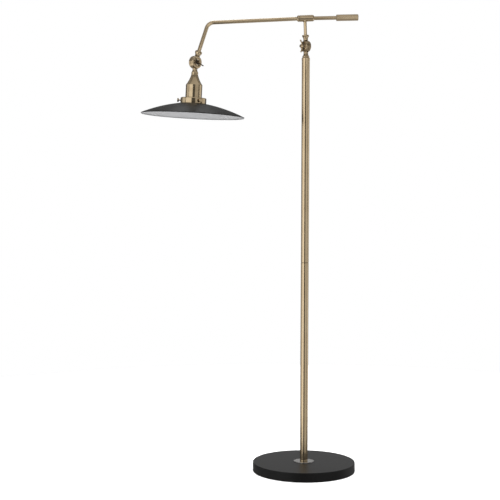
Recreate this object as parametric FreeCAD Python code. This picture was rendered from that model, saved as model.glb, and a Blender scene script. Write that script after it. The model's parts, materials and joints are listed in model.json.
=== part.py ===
import FreeCAD, Part
import math
import os

# Pharmacy floor lamp: a weighted base, a two-piece pole, a tilting and turning
# arm with a counterweight, and a tilting saucer shade.
# Millimetres, +Z up. The origin is the middle of the base's underside, on the
# pole's axis. The arm reaches out along -X.

# ---- driving dimensions -------------------------------------------------

# clearances
thread_fit = 0.05        # radial, between a threaded or pushed-in piece and its hole
running_fit = 0.05       # radial, between a turning pin and its hole
loose_fit = 0.35         # radial, where pieces on different bodies pass each other

# base
base_radius = 165.0
base_height = 30.0
cover_wall = 1.5
cover_edge = 1.5
cover_flange = 12.5      # turned-in rim at the bottom of the cover
pad_thickness = 2.0
weight_radius = 150.0
weight_thickness = 16.0
clamp_washer_radius = 20.0
clamp_washer_thickness = 2.0
base_nut_across = 17.0
base_nut_thickness = 5.0
trim_washer_radius = 32.8
trim_washer_thickness = 1.7
bushing_bore = 5.8
bushing_radius = 4.4
bushing_flange = 6.3
bushing_height = 11.0    # centre, above the floor
bushing_flange_thickness = 1.9
bushing_chamfer = 1.0
bushing_inner_gap = 0.25 # flange to the cover's round wall
bushing_outer_gap = 0.05
trim_washer_edge = 1.0
weight_chamfer = 2.0

# threaded nipples that the leads run through
nipple_radius = 5.0
nipple_bore = 3.2
nipple_excess = 1.0      # what stands out beyond a nut
nipple_tail = 3.0
end_play = 1.0           # left at the bottom of a socket
lead_radius = 2.4
arm_lead_radius = 2.2
socket_lead_radius = 1.0
socket_lead_bend = 2.5
lead_spread = 1.3        # of the two socket leads, from the head's axis
lead_foot = 8.0
lead_bend = 6.0

# pole
pole_radius = 12.7
pole_wall = 1.2
pole_seam_height = 673.5
seam_ring_radius = 12.2
seam_ring_width = 3.0
pole_top = 1329.0        # top face of the pole cap
cap_radius = 13.1
cap_shoulder = 3.0
cap_skirt = 9.0
cap_plate = 2.5
insert_length = 14.0
coupler_socket_length = 28.0
coupler_stud_radius = 8.0
coupler_stud_length = 23.0
coupler_plug_length = 22.0
coupler_chamfer = 1.0

# knuckles: two half discs that a clamp screw pulls together
pole_puck_radius = 18.0
lamp_puck_radius = 20.5
puck_width = 21.4        # both halves and the gap between them
puck_gap = 1.0
puck_edge = 4.0          # rounding of the outer corner
puck_relief = 0.5        # the rim face lies this much below the boss
puck_groove = 1.6        # width of the turned groove round the boss
puck_groove_depth = 1.0  # below the rim face
puck_groove_slope = 0.3
boss_chamfer = 0.4
puck_hub = 6.0
puck_rim = 4.0           # width of the rim that carries the friction ring
ring_outer_inset = 0.9   # of the friction ring, from the rim's edges
ring_inner_inset = 0.4
lead_pocket_depth = 6.0
pole_boss_radius = 9.5
lamp_boss_radius = 12.0
neck_gap = 0.7           # between a half's neck and the other half's rim
neck_radius = 7.4
flare_start = 24.5       # distances along a neck, from the knuckle's centre
flare_bow = 0.3          # share of the flare's width at its middle
flare_sag = 0.2
lip_start = 31.0
lip_radius = 10.9
lip_chamfer = 0.6
lip_round = 1.2
web_lap = 1.0            # how far a neck's web reaches into the disc's rim
pole_lip_end = 35.6
lamp_neck_radius = 8.0
lamp_lip_radius = 11.1
lamp_lip_end = 37.4
socket_depth = 14.0      # of the hole in a neck's end
lead_passage = 3.0
clamp_screw_radius = 3.0
clamp_head_radius = 6.5
clamp_head_height = 4.0
clamp_head_edge = 1.6    # height of the dome's straight side
clamp_chamfer = 1.0
clamp_screw_end = 22.5
nut_washer_radius = 7.6
nut_washer_thickness = 1.0

# wing nuts
wing_seat_gap = 0.05     # between a wing nut and its washer
wing_hub_radius = 6.2
wing_hub_top_radius = 4.9
wing_hub_height = 9.0
wing_span = 39.6
wing_thickness = 2.8
wing_tip_radius = 2.7
wing_rise = 7.0          # height of the tip's centre above the nut's seat
wing_hub_collar = 2.2    # straight stretch at the foot of the hub
wing_hub_chamfer = 0.8
wing_foot = 0.6          # wing's underside above the seat
wing_root = 1.5          # how far the wing reaches into the hub
wing_root_drop = 3.4     # wing's top below the hub's top, at the hub
wing_dip = 2.7           # and at the hollow between hub and tip
wing_low_angle = -70.0   # where the tip's round starts and ends
wing_high_angle = 125.0
pole_wing_turn = 0.0     # how far the nut is turned from wings up and down
lamp_wing_turn = 79.0

# stem, sleeve and arm
arm_lean = 4.2           # upper half of the pole knuckle, tilted about its axis
pole_hinge_turn = 60.0   # the hinge's axis, turned left from the front
sleeve_height = 89.4     # sleeve's axis above the pole knuckle's centre
stem_radius = 5.0
stem_boss_radius = 7.0
stem_boss_height = 2.0
stem_boss_chamfer = 1.7
stem_overlap = 1.5       # how far the stem reaches into the sleeve's bore
sleeve_radius = 10.25
sleeve_short_end = 16.5  # on the arm's side
sleeve_long_end = 29.0
sleeve_chamfer = 3.0
sleeve_edge = 0.4
spigot_step = 1.3        # of the sleeve's spigot below the ring's outside
lock_ring_gap = 0.8
lock_ring_width = 7.7
arm_radius = 6.0
arm_wall = 1.2
arm_start = 8.0          # end of the tube inside the sleeve
arm_reach = 308.2        # sleeve's centre to the corner of the bend
arm_sag = 0.65           # degrees below the sleeve's own line
bend_radius = 25.0
bend_turn = 70.7
bend_roll = 11.15        # the leg leans this much out of the stem's plane
leg_drop = 139.0         # corner of the bend to the lamp knuckle's centre
rod_start = 12.0
rod_sag = 0.9
weight_start = 100.0     # of the counterweight, from the sleeve's centre
counterweight_length = 70.0
counterweight_radius = 10.15
counterweight_chamfer = 1.0
counterweight_round = 2.5
rod_engagement = 21.0
grub_radius = 1.5
grub_groove_width = 3.6
grub_groove_depth = 0.5
grub_tip_gap = 0.1
grub_inset = 1.0         # head below the collar's surface
balance_grub_radius = 3.0
balance_grub_inset = 0.5

# head
head_swivel = 138.27     # of the lamp knuckle about the leg
head_tilt = 19.91        # of the head about the knuckle's axis
cap_neck_end = 39.6      # distances along the head's axis, from the knuckle's centre
cap_flare_end = 71.0
holder_top = 112.0
cap_body_radius = 26.1
cap_wall = 1.0
cap_neck_radius = 10.8
cap_flare_bow = 0.41     # share of the flare's width at its middle
cap_flare_sag = 0.9
cap_corner = 0.4
head_nipple_start = 27.0
head_nipple_end = 67.0
head_nut_across = 14.0
head_nut_thickness = 4.0
lampholder_radius = 18.5
lampholder_shoulder = 16.5
lampholder_wall = 3.5
lampholder_roof = 3.0
lampholder_hub_radius = 9.0
lampholder_hub_top = 58.0
lampholder_top = 68.0
lampholder_end = 118.5
partition_top = 86.0
partition_thickness = 3.0
shell_bore_radius = 13.35
shell_wall = 0.55
shell_flange = 3.0       # turned-in bottom of the shell
shell_draw = 1.4         # how much narrower its bottom end is
shell_end = 117.0
contact_thickness = 0.6
contact_width = 6.0
contact_length = 12.0
contact_lift = 3.0       # how far the tongue springs up towards the bulb
contact_tip = 2.0        # length of the tongue's turned-back tip
contact_clearance = 0.8  # from the tongue's lowest point to the shell's thread
rivet_radius = 1.5
rivet_head_radius = 3.0
rivet_head_height = 1.2
rivet_foot_radius = 4.0
terminal_radius = 3.0
terminal_height = 5.6
terminal_edge = 0.6
terminal_slot_width = 0.8
terminal_spread = 8.0
holder_radius = 41.0
holder_height = 18.0
holder_wall = 1.2
holder_edge = 2.5
ring_nut_radius = 23.5
ring_nut_height = 4.0
screw_count = 3
screw_first_angle = 180.0
screw_radius = 2.0
screw_height = 9.2       # below the holder's top
screw_head_radius = 6.0
screw_head_start = 46.5
screw_head_width = 4.6
screw_head_flutes = 16
screw_head_edge = 0.7
screw_flute_radius = 0.75
screw_flute_place = 6.35 # centres of the flutes, from the screw's axis
screw_point = 0.4
shade_radius = 164.0
shade_depth = 39.5       # shoulder to rim
shade_rim = 3.0
shade_crown = 4.4        # rise of the dome above a straight cone
shade_wall = 0.9
shade_neck_radius = 38.5
shade_neck_height = 12.9
shade_bead = 0.7
shade_bead_height = 1.0
shade_rim_bead = 1.3


# ---- tools --------------------------------------------------------------

vec = FreeCAD.Vector
z_axis = vec(0, 0, 1)
parts = {}


def flat(point):
    return vec(point[0], 0, point[1])


def outline(*steps):
    # A closed face in the X-Z plane. A step is a corner, or a pair for a round
    # stretch: a point on the arc, and the arc's end.
    edges = []
    here = steps[0]
    for step in steps[1:]:
        if isinstance(step[0], tuple):
            through, end = step
            edges.append(Part.Arc(flat(here), flat(through), flat(end)).toShape())
        else:
            end = step
            edges.append(Part.makeLine(flat(here), flat(end)))
        here = end
    edges.append(Part.makeLine(flat(here), flat(steps[0])))
    return Part.Face(Part.Wire(edges))


def turned(*steps):
    # A solid of revolution about Z, from an outline of (radius, height).
    return outline(*steps).revolve(vec(0, 0, 0), z_axis, 360)


def round_step(centre, radius, start, end):
    # An outline step: an arc about a centre, between two directions in degrees.
    def at(angle):
        turn = math.radians(angle)
        return (centre[0] + radius * math.cos(turn), centre[1] + radius * math.sin(turn))
    return (at((start + end) / 2.0), at(end))


def rod(radius, low, high):
    return Part.makeCylinder(radius, high - low, vec(0, 0, low))


def tube(outer, inner, low, high):
    return rod(outer, low, high).cut(rod(inner, low - 1, high + 1))


def hexagon(across, bore, low, high):
    corner = across / math.sqrt(3.0)
    ring = [vec(corner * math.cos(math.radians(60 * i)), corner * math.sin(math.radians(60 * i)), low)
            for i in range(7)]
    body = Part.Face(Part.makePolygon(ring)).extrude(vec(0, 0, high - low))
    chamfer = turned((0, low - 1), (corner + 1, low - 1), (corner + 1, high - 1.2),
                     (across / 2.0 - 0.2, high), (0, high))
    return body.common(chamfer).cut(rod(bore, low - 1, high + 1))


def turn_about(axis, degrees):
    return FreeCAD.Placement(vec(0, 0, 0), FreeCAD.Rotation(axis, degrees))


def shift(x, y, z):
    return FreeCAD.Placement(vec(x, y, z), FreeCAD.Rotation())


def placed(shape, frame):
    moved = shape.copy()
    moved.Placement = frame.multiply(moved.Placement)
    return moved


def rounded_path(points, radii):
    # Straight runs joined by tangent arcs, one radius for each inner point.
    edges = []
    here = points[0]
    for before, corner, after, radius in zip(points, points[1:], points[2:], radii):
        coming = (corner - before).normalize()
        going = (after - corner).normalize()
        turn = coming.getAngle(going)
        reach = radius * math.tan(turn / 2.0)
        entry = corner - coming * reach
        leave = corner + going * reach
        inward = (going - coming).normalize()
        middle = corner + inward * (radius / math.cos(turn / 2.0) - radius)
        edges.append(Part.makeLine(here, entry))
        edges.append(Part.Arc(entry, middle, leave).toShape())
        here = leave
    edges.append(Part.makeLine(here, points[-1]))
    return Part.Wire(edges)


def pipe(points, radii, radius):
    start = Part.Wire(Part.makeCircle(radius, points[0], points[1] - points[0]))
    return rounded_path(points, radii).makePipeShell([start], True, False)


# ---- places -------------------------------------------------------------

# Knuckle frames: origin at the knuckle's centre, X along its hinge, Z up.
pole_knuckle_height = pole_top + pole_lip_end
hinge_heading = 270.0 - pole_hinge_turn
lower_frame = shift(0, 0, pole_knuckle_height).multiply(turn_about(z_axis, hinge_heading))
upper_frame = lower_frame.multiply(turn_about(vec(1, 0, 0), arm_lean))

# The stem's frame stands on the pole knuckle's centre with its X along -X of
# the row, and the arm's frame has its origin on the sleeve and X along the arm.
stem_frame = upper_frame.multiply(turn_about(z_axis, 180.0 - hinge_heading))
sleeve_frame = stem_frame.multiply(shift(0, 0, sleeve_height))
arm_frame = sleeve_frame.multiply(turn_about(vec(0, 1, 0), arm_sag))
rod_frame = sleeve_frame.multiply(turn_about(vec(0, 1, 0), -rod_sag))
corner_frame = arm_frame.multiply(shift(arm_reach, 0, 0))
leg_frame = corner_frame.multiply(turn_about(vec(1, 0, 0), bend_roll))
leg_frame = leg_frame.multiply(turn_about(vec(0, 1, 0), bend_turn))

# The lamp knuckle hangs on the leg, its Z pointing back up the leg.
collar_frame = leg_frame.multiply(shift(leg_drop, 0, 0)).multiply(turn_about(vec(0, 1, 0), -90))
collar_frame = collar_frame.multiply(turn_about(z_axis, head_swivel))
head_frame = collar_frame.multiply(turn_about(vec(1, 0, 0), head_tilt))


# ---- base and pole ------------------------------------------------------

def build_base():
    top = base_height
    inside = base_radius - cover_wall
    flange_top = pad_thickness + cover_wall
    hole = nipple_radius + thread_fit
    cover = turned(
        (hole, top), (base_radius - cover_edge, top),
        round_step((base_radius - cover_edge, top - cover_edge), cover_edge, 90, 0),
        (base_radius, pad_thickness), (inside - cover_flange, pad_thickness),
        (inside - cover_flange, flange_top), (inside, flange_top),
        (inside, top - cover_wall), (hole, top - cover_wall))
    rearward = shift(0, 0, bushing_height).multiply(turn_about(vec(1, 0, 0), -90))
    entry = placed(rod(bushing_radius + thread_fit, inside - 3, base_radius + 3), rearward)
    parts["base_cover"] = cover.cut(entry)

    low_flange = inside - bushing_inner_gap - bushing_flange_thickness
    high_flange = base_radius + bushing_outer_gap
    flange_end = high_flange + bushing_flange_thickness
    bushing = turned(
        (bushing_bore / 2.0, low_flange), (bushing_flange, low_flange),
        (bushing_flange, low_flange + bushing_flange_thickness),
        (bushing_radius, low_flange + bushing_flange_thickness),
        (bushing_radius, high_flange), (bushing_flange, high_flange),
        (bushing_flange, flange_end - bushing_chamfer),
        (bushing_flange - bushing_chamfer, flange_end), (bushing_bore / 2.0, flange_end))
    parts["cord_bushing"] = placed(bushing, rearward)

    weight_top = top - cover_wall
    weight_low = weight_top - weight_thickness
    washer_low = weight_low - clamp_washer_thickness
    parts["base_pad"] = rod(inside, 0, pad_thickness)
    parts["base_weight"] = turned(
        (hole, weight_low), (weight_radius - weight_chamfer, weight_low),
        (weight_radius, weight_low + weight_chamfer), (weight_radius, weight_top - weight_chamfer),
        (weight_radius - weight_chamfer, weight_top), (hole, weight_top))
    parts["clamp_washer"] = tube(clamp_washer_radius, hole, washer_low, weight_low)
    parts["base_nut"] = hexagon(base_nut_across, hole, washer_low - base_nut_thickness, washer_low)
    foot = top + trim_washer_thickness
    edge = trim_washer_edge
    parts["trim_washer"] = turned(
        (hole, top), (trim_washer_radius, top), (trim_washer_radius, foot - edge),
        round_step((trim_washer_radius - edge, foot - edge), edge, 0, 90), (hole, foot))
    parts["base_nipple"] = tube(nipple_radius, nipple_bore,
                                washer_low - base_nut_thickness - nipple_excess,
                                foot + insert_length + nipple_excess)
    return foot


def build_pole(foot):
    bore = pole_radius - pole_wall
    hole = nipple_radius + thread_fit
    plug = bore - thread_fit
    seam = pole_seam_height
    upper_foot = seam + seam_ring_width
    tube_top = pole_top - cap_plate
    parts["pole_insert"] = tube(plug, hole, foot, foot + insert_length)
    parts["lower_pole"] = tube(pole_radius, bore, foot, seam)
    parts["upper_pole"] = tube(pole_radius, bore, upper_foot, tube_top)
    parts["coupler_socket"] = tube(plug, coupler_stud_radius + thread_fit,
                                   seam - coupler_socket_length, seam)
    parts["coupler_stud"] = turned(
        (nipple_radius, seam - coupler_stud_length),
        (coupler_stud_radius - coupler_chamfer, seam - coupler_stud_length),
        (coupler_stud_radius, seam - coupler_stud_length + coupler_chamfer),
        (coupler_stud_radius, seam), (seam_ring_radius, seam), (seam_ring_radius, upper_foot),
        (plug, upper_foot), (plug, upper_foot + coupler_plug_length),
        (nipple_radius, upper_foot + coupler_plug_length))
    skirt_bore = pole_radius + thread_fit
    parts["pole_cap"] = turned(
        (hole, tube_top - insert_length), (plug, tube_top - insert_length), (plug, tube_top),
        (skirt_bore, tube_top), (skirt_bore, pole_top - cap_skirt),
        (cap_radius, pole_top - cap_skirt), (cap_radius, pole_top - cap_shoulder),
        round_step((cap_radius - cap_shoulder, pole_top - cap_shoulder), cap_shoulder, 0, 90),
        (hole, pole_top))
    nipple_low = tube_top - insert_length - nipple_tail
    nipple_top = pole_top + socket_depth - end_play
    parts["pole_nipple"] = tube(nipple_radius, nipple_bore, nipple_low, nipple_top)
    lead_top = pole_top + pole_lip_end - pole_puck_radius - neck_gap
    parts["pole_leads"] = rod(lead_radius, lead_foot, lead_top)


# ---- knuckles -----------------------------------------------------------

def knuckle_half(puck_radius, boss_radius, side, neck, lip, lip_end, hole):
    # One half disc with its neck. The disc lies on the given side of the middle
    # plane, along X. The neck stands up along Z and is centred on that plane.
    gap = puck_gap / 2.0
    face = puck_width / 2.0
    rim_face = face - puck_relief
    pocket = puck_radius - puck_rim
    groove = boss_radius + puck_groove
    floor = rim_face - puck_groove_depth
    bore = clamp_screw_radius + running_fit
    disc = turned(
        (bore, gap), (puck_hub, gap), (puck_hub, gap + lead_pocket_depth),
        (pocket, gap + lead_pocket_depth), (pocket, gap), (puck_radius, gap),
        (puck_radius, rim_face - puck_edge),
        round_step((puck_radius - puck_edge, rim_face - puck_edge), puck_edge, 0, 90),
        (groove, rim_face), (groove - puck_groove_slope, floor), (boss_radius, floor),
        (boss_radius, face - boss_chamfer), (boss_radius - boss_chamfer, face), (bore, face))
    disc = placed(disc, turn_about(vec(0, 1, 0), 90 * side))
    start = puck_radius + neck_gap
    sweep = (neck + (lip - neck) * flare_bow, (flare_start + lip_start) / 2.0 + flare_sag)
    bell = turned(
        (0, start), (neck, start), (neck, flare_start),
        (sweep, (lip - lip_chamfer, lip_start)), (lip, lip_start + lip_chamfer),
        (lip, lip_end - lip_round),
        round_step((lip - lip_round, lip_end - lip_round), lip_round, 0, 90), (0, lip_end))
    web = rod(neck, pocket + web_lap, start + web_lap)
    keep = Part.makeBox(2 * neck, 4 * neck, lip_end, vec(gap, -2 * neck, 0))
    if side < 0:
        keep = keep.mirror(vec(0, 0, 0), vec(1, 0, 0))
    half = disc.fuse(bell).fuse(web.common(keep))
    half = half.cut(rod(hole, lip_end - socket_depth, lip_end + 1))
    half = half.cut(rod(lead_passage, puck_hub + lead_passage, lip_end))
    return half.removeSplitter()


def clamp_screw():
    seat = puck_width / 2.0
    crown = seat + clamp_head_height
    shoulder = (clamp_head_radius * 0.55, -crown + clamp_chamfer / 2.0)
    screw = turned(
        (0, -crown), (shoulder, (clamp_head_radius, -seat - clamp_head_edge)),
        (clamp_head_radius, -seat), (clamp_screw_radius, -seat),
        (clamp_screw_radius, clamp_screw_end - clamp_chamfer),
        (clamp_screw_radius - clamp_chamfer, clamp_screw_end), (0, clamp_screw_end))
    return placed(screw, turn_about(vec(0, 1, 0), 90))


def wing_nut(turn):
    # Seated on its washer, wings along Z before it is turned about X.
    seat = puck_width / 2.0 + nut_washer_thickness + wing_seat_gap
    top = seat + wing_hub_height
    hub = turned(
        (0, seat), (wing_hub_radius, seat), (wing_hub_radius, seat + wing_hub_collar),
        (wing_hub_top_radius, top - wing_hub_chamfer),
        (wing_hub_top_radius - wing_hub_chamfer, top), (0, top))
    tip_x = wing_span / 2.0 - wing_tip_radius
    tip = (tip_x, seat + wing_rise)
    root = wing_hub_top_radius - wing_root
    low = round_step(tip, wing_tip_radius, wing_low_angle, wing_low_angle)[1]
    wing = outline(
        (root, seat + wing_foot), (wing_hub_radius + wing_root, seat + wing_foot),
        ((tip_x * 0.72, seat + wing_foot + 1.0), low),
        round_step(tip, wing_tip_radius, wing_low_angle, wing_high_angle),
        ((tip_x * 0.66, top - wing_dip), (root, top - wing_root_drop)))
    wing = placed(wing, shift(0, -wing_thickness / 2.0, 0)).extrude(vec(0, wing_thickness, 0))
    other = placed(wing, turn_about(z_axis, 180))
    nut = hub.fuse(wing).fuse(other)
    nut = nut.cut(rod(clamp_screw_radius + running_fit, seat - 1, top + 1))
    nut = placed(nut.removeSplitter(), turn_about(vec(0, 1, 0), 90))
    return placed(nut, turn_about(vec(1, 0, 0), turn))


def along_hinge(shape):
    return placed(shape, turn_about(vec(0, 1, 0), 90))


def build_knuckle(name, frame_below, frame_above, puck_radius, boss_radius, turn, below, above):
    # The half below faces the front, the half above carries the clamp screw.
    upside_down = turn_about(vec(1, 0, 0), 180)
    low_half = knuckle_half(puck_radius, boss_radius, 1, *below)
    high_half = knuckle_half(puck_radius, boss_radius, -1, *above)
    parts[name + "_knuckle_lower"] = placed(placed(low_half, upside_down), frame_below)
    parts[name + "_knuckle_upper"] = placed(high_half, frame_above)
    ring = tube(puck_radius - ring_outer_inset, puck_radius - puck_rim + ring_inner_inset,
                -puck_gap / 2.0, puck_gap / 2.0)
    parts[name + "_friction_ring"] = placed(along_hinge(ring), frame_below)
    seat = puck_width / 2.0
    washer = tube(nut_washer_radius, clamp_screw_radius + running_fit, seat, seat + nut_washer_thickness)
    parts[name + "_nut_washer"] = placed(along_hinge(washer), frame_below)
    parts[name + "_clamp_screw"] = placed(clamp_screw(), frame_above)
    parts[name + "_wing_nut"] = placed(wing_nut(turn), frame_above)


def collar_grub(name, frame, groove_radius, lip, lip_end):
    # A grub screw in a collar's lip, on the far side from the wing nut.
    level = (lip_start + lip_end) / 2.0
    direction = turn_about(vec(0, 1, 0), -90)
    spot = shift(0, 0, level).multiply(direction)
    grub = rod(grub_radius, groove_radius + grub_tip_gap, lip - grub_inset)
    hole = rod(grub_radius + thread_fit, groove_radius, lip + 2)
    parts[name] = placed(placed(grub, spot), frame)
    return placed(placed(hole, spot), frame)


def groove_round(outer, level):
    return tube(outer + 1, outer - grub_groove_depth, level - grub_groove_width / 2.0,
                level + grub_groove_width / 2.0)


# ---- arm ----------------------------------------------------------------

def build_arm():
    grub_level = (lip_start + pole_lip_end) / 2.0
    stem_foot = pole_lip_end - socket_depth
    stem_end = sleeve_height - arm_radius + stem_overlap
    stem = tube(stem_radius, nipple_bore, stem_foot, stem_end)
    stem = stem.cut(groove_round(stem_radius, grub_level))
    parts["stem"] = placed(stem, stem_frame)
    hole = collar_grub("stem_grub", upper_frame, stem_radius - grub_groove_depth, lip_radius,
                       pole_lip_end)
    parts["pole_knuckle_upper"] = parts["pole_knuckle_upper"].cut(hole)

    # Sleeve and lock ring, turned about the sleeve's own line.
    to_line = turn_about(vec(0, 1, 0), 90)
    ring_foot = sleeve_short_end + lock_ring_gap
    ring_end = ring_foot + lock_ring_width
    spigot = sleeve_radius - spigot_step
    sleeve = turned(
        (0, -sleeve_long_end), (sleeve_radius - sleeve_chamfer, -sleeve_long_end),
        (sleeve_radius, -sleeve_long_end + sleeve_chamfer), (sleeve_radius, sleeve_short_end - sleeve_edge),
        (sleeve_radius - sleeve_edge, sleeve_short_end), (spigot, sleeve_short_end), (spigot, ring_foot),
        (0, ring_foot))
    boss_foot = -sleeve_radius - stem_boss_height
    boss = turned(
        (0, boss_foot), (stem_boss_radius - stem_boss_chamfer, boss_foot),
        (stem_boss_radius, -sleeve_radius), (stem_boss_radius, -sleeve_radius / 2.0),
        (0, -sleeve_radius / 2.0))
    arm_hole = placed(rod(arm_radius + thread_fit, 0, ring_end + 1), to_line)
    rod_hole = placed(rod(arm_radius + thread_fit, -sleeve_long_end - 1, 0), to_line)
    turn_arm = turn_about(vec(0, 1, 0), arm_sag)
    turn_rod = turn_about(vec(0, 1, 0), -rod_sag)
    sleeve = placed(sleeve, to_line).fuse(boss)
    sleeve = sleeve.cut(placed(arm_hole, turn_arm)).cut(placed(rod_hole, turn_rod))
    sleeve = sleeve.cut(rod(stem_radius + thread_fit, boss_foot - 1, 0))
    parts["t_sleeve"] = placed(sleeve.removeSplitter(), sleeve_frame)
    ring = turned(
        (0, ring_foot), (sleeve_radius - sleeve_edge, ring_foot),
        (sleeve_radius, ring_foot + sleeve_edge),
        (sleeve_radius, ring_end - sleeve_chamfer), (sleeve_radius - sleeve_chamfer, ring_end),
        (0, ring_end))
    ring = placed(ring, to_line).cut(placed(arm_hole, turn_arm))
    parts["sleeve_lock_ring"] = placed(ring, sleeve_frame)

    # Arm tube: straight, one bend, and the leg into the lamp knuckle's collar.
    corner = arm_frame.multVec(vec(arm_reach, 0, 0))
    leg_length = leg_drop - lamp_lip_end + socket_depth - end_play
    start = arm_frame.multVec(vec(arm_start, 0, 0))
    end = leg_frame.multVec(vec(leg_length, 0, 0))
    before = arm_frame.multVec(vec(arm_start - 1, 0, 0))
    after = leg_frame.multVec(vec(leg_length + 1, 0, 0))
    outside = pipe([start, corner, end], [bend_radius], arm_radius)
    inside = pipe([before, corner, after], [bend_radius], arm_radius - arm_wall)
    groove_level = (lip_start + lamp_lip_end) / 2.0
    groove = placed(groove_round(arm_radius, groove_level), collar_frame)
    parts["arm_tube"] = outside.cut(inside).cut(groove)
    hole = collar_grub("leg_grub", collar_frame, arm_radius - grub_groove_depth, lamp_lip_radius,
                       lamp_lip_end)
    parts["lamp_knuckle_upper"] = parts["lamp_knuckle_upper"].cut(hole)

    # The leads rise through the stem, turn in the sleeve and run down the leg.
    low = stem_frame.multVec(vec(0, 0, stem_foot + end_play))
    centre = sleeve_frame.multVec(vec(0, 0, 0))
    lead_end = leg_frame.multVec(vec(leg_length - 2, 0, 0))
    parts["arm_leads"] = pipe([low, centre, corner, lead_end], [lead_bend, bend_radius],
                              arm_lead_radius)


def build_balance():
    # Rod and counterweight lie along -X of the rod's frame.
    to_line = turn_about(vec(0, 1, 0), -90)
    rod_end = weight_start + rod_engagement
    parts["balance_rod"] = placed(placed(rod(arm_radius, rod_start, rod_end), to_line), rod_frame)
    far = weight_start + counterweight_length
    weight = turned(
        (0, weight_start), (counterweight_radius - counterweight_chamfer, weight_start),
        (counterweight_radius, weight_start + counterweight_chamfer),
        (counterweight_radius, far - counterweight_round),
        round_step((counterweight_radius - counterweight_round, far - counterweight_round),
                   counterweight_round, 0, 90),
        (0, far))
    weight = weight.cut(rod(arm_radius + thread_fit, weight_start - 1, rod_end + 1))
    spot = shift(0, 0, weight_start + rod_engagement / 2.0).multiply(turn_about(vec(1, 0, 0), 90))
    grub = rod(balance_grub_radius, arm_radius + thread_fit, counterweight_radius - balance_grub_inset)
    hole = rod(balance_grub_radius + thread_fit, arm_radius, counterweight_radius + 1)
    weight = weight.cut(placed(hole, spot))
    parts["counterweight"] = placed(placed(weight, to_line), rod_frame)
    parts["counterweight_grub"] = placed(placed(placed(grub, spot), to_line), rod_frame)


# ---- head ---------------------------------------------------------------

def build_socket():
    # Everything here is turned about the head's axis, with depths as -Z.
    hole = nipple_radius + thread_fit
    top = -lamp_lip_end
    neck = cap_neck_radius
    flare = -(cap_neck_end + cap_flare_end) / 2.0 - cap_flare_sag
    flare_radius = neck + (cap_body_radius - neck) * cap_flare_bow
    inner = cap_body_radius - cap_wall
    corner = cap_corner
    cap = turned(
        (hole, top), (neck, top), (neck, -cap_neck_end),
        ((flare_radius, flare), (cap_body_radius - corner, -cap_flare_end + corner)),
        (cap_body_radius, -cap_flare_end - corner), (cap_body_radius, -holder_top),
        (inner, -holder_top), (inner, -cap_flare_end - cap_wall),
        ((flare_radius - cap_wall, flare - corner), (neck - cap_wall, -cap_neck_end - corner)),
        (neck - cap_wall, top - cap_wall), (hole, top - cap_wall))
    put_in_head("socket_cap", cap)
    nut_top = top - cap_wall
    put_in_head("head_nut", hexagon(head_nut_across, hole, nut_top - head_nut_thickness, nut_top))
    put_in_head("head_nipple", tube(nipple_radius, nipple_bore, -head_nipple_end, -head_nipple_start))

    bore = lampholder_radius - lampholder_wall
    rivet_hole = rivet_radius + 0.1
    slope = lampholder_radius - lampholder_shoulder
    roof = -lampholder_top - lampholder_roof
    shell_radius = shell_bore_radius + shell_wall
    partition = -(partition_top + partition_thickness)
    body = turned(
        (hole, -lampholder_hub_top), (lampholder_hub_radius, -lampholder_hub_top),
        (lampholder_hub_radius, -lampholder_top), (lampholder_shoulder, -lampholder_top),
        (lampholder_radius, -lampholder_top - slope), (lampholder_radius, -lampholder_end),
        (shell_radius + thread_fit, -lampholder_end), (shell_radius + thread_fit, partition),
        (rivet_hole, partition), (rivet_hole, -partition_top), (bore, -partition_top),
        (bore, roof - slope),
        (lampholder_shoulder - lampholder_wall, roof), (hole, roof))
    put_in_head("lampholder_body", body)
    # The shell is drawn in above the contact's tongue, so its thread starts clear of it.
    shell_lip = shell_bore_radius - shell_flange
    drawn_in = shell_bore_radius - shell_draw
    thread_start = partition - 2 * contact_thickness - contact_lift - contact_clearance
    put_in_head("screw_shell", turned(
        (shell_lip, partition), (drawn_in + shell_wall, partition), (shell_radius, thread_start),
        (shell_radius, -shell_end), (shell_bore_radius, -shell_end),
        (shell_bore_radius, thread_start), (drawn_in, partition - shell_wall),
        (shell_lip, partition - shell_wall)))
    put_in_head("centre_contact", centre_contact(partition))

    foot = -partition_top
    post_top = foot + terminal_height
    posts = []
    leads = []
    for side in (-1, 1):
        x = side * terminal_spread
        post = turned((0, foot), (terminal_radius, foot), (terminal_radius, post_top - terminal_edge),
                      (terminal_radius - terminal_edge, post_top), (0, post_top))
        slot = Part.makeBox(2 * terminal_radius + 2, terminal_slot_width, terminal_height,
                            vec(-terminal_radius - 1, -terminal_slot_width / 2.0,
                                post_top - terminal_slot_width))
        posts.append(placed(post.cut(slot), shift(x, 0, 0)))
        route = [vec(side * lead_spread, 0, -head_nipple_start - end_play),
                 vec(side * lead_spread, 0, roof - socket_lead_radius), vec(x, 0, roof - 6),
                 vec(x, 0, post_top)]
        leads.append(pipe(route, [socket_lead_bend, socket_lead_bend], socket_lead_radius))
    put_in_head("terminals", Part.makeCompound(posts))
    put_in_head("socket_leads", Part.makeCompound(leads))


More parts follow.
